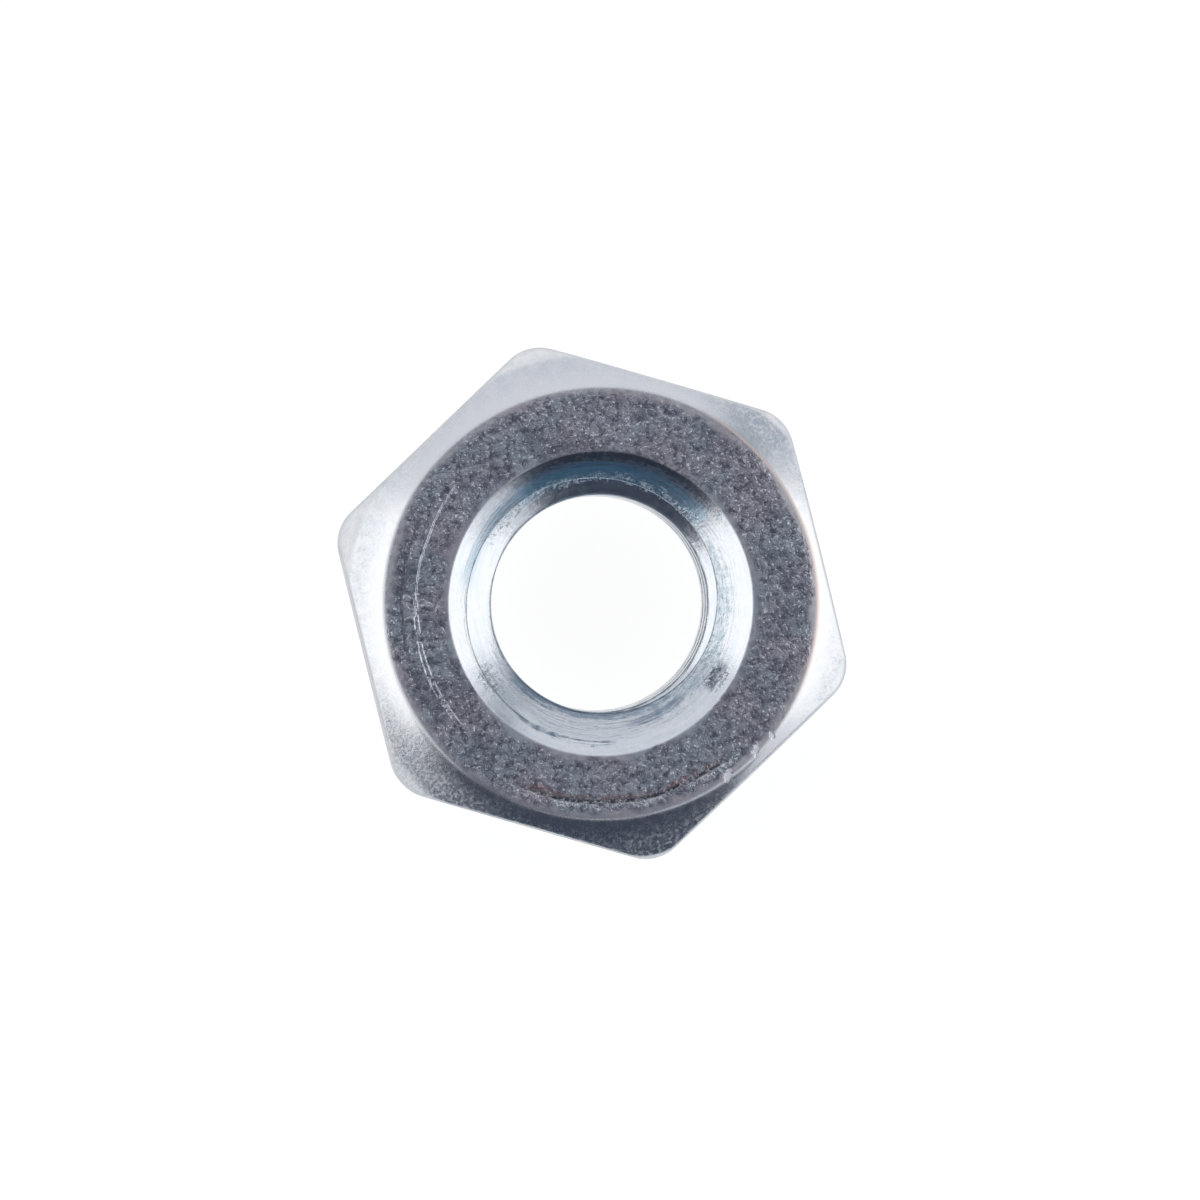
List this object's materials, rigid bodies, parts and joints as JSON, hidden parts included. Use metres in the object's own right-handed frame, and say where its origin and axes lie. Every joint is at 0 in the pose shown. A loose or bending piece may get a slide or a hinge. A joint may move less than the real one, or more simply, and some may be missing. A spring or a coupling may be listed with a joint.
{
  "type": "hex nut",
  "caption": "Plain hexagon nut with a right-hand metric thread, a chamfer round both faces and a countersink at both mouths of the bore, in bright zinc-plated steel.",
  "frame": {"origin": "on the bearing face, under the middle of the hexagon", "axes": "+Z along the thread, from the bearing face to the top face; +X square to one of the six flats; Y runs from corner to corner"},
  "size_m": [0.007, 0.0078, 0.0032],
  "materials": {
    "zinc_plated_steel": "bright zinc plating with a clear bluish passivate over cold-formed steel: satin, finely speckled on the faces and smoother on the chamfers"
  },
  "bodies": {
    "root": {"nut_body": "zinc_plated_steel"}
  },
  "joints": []
}
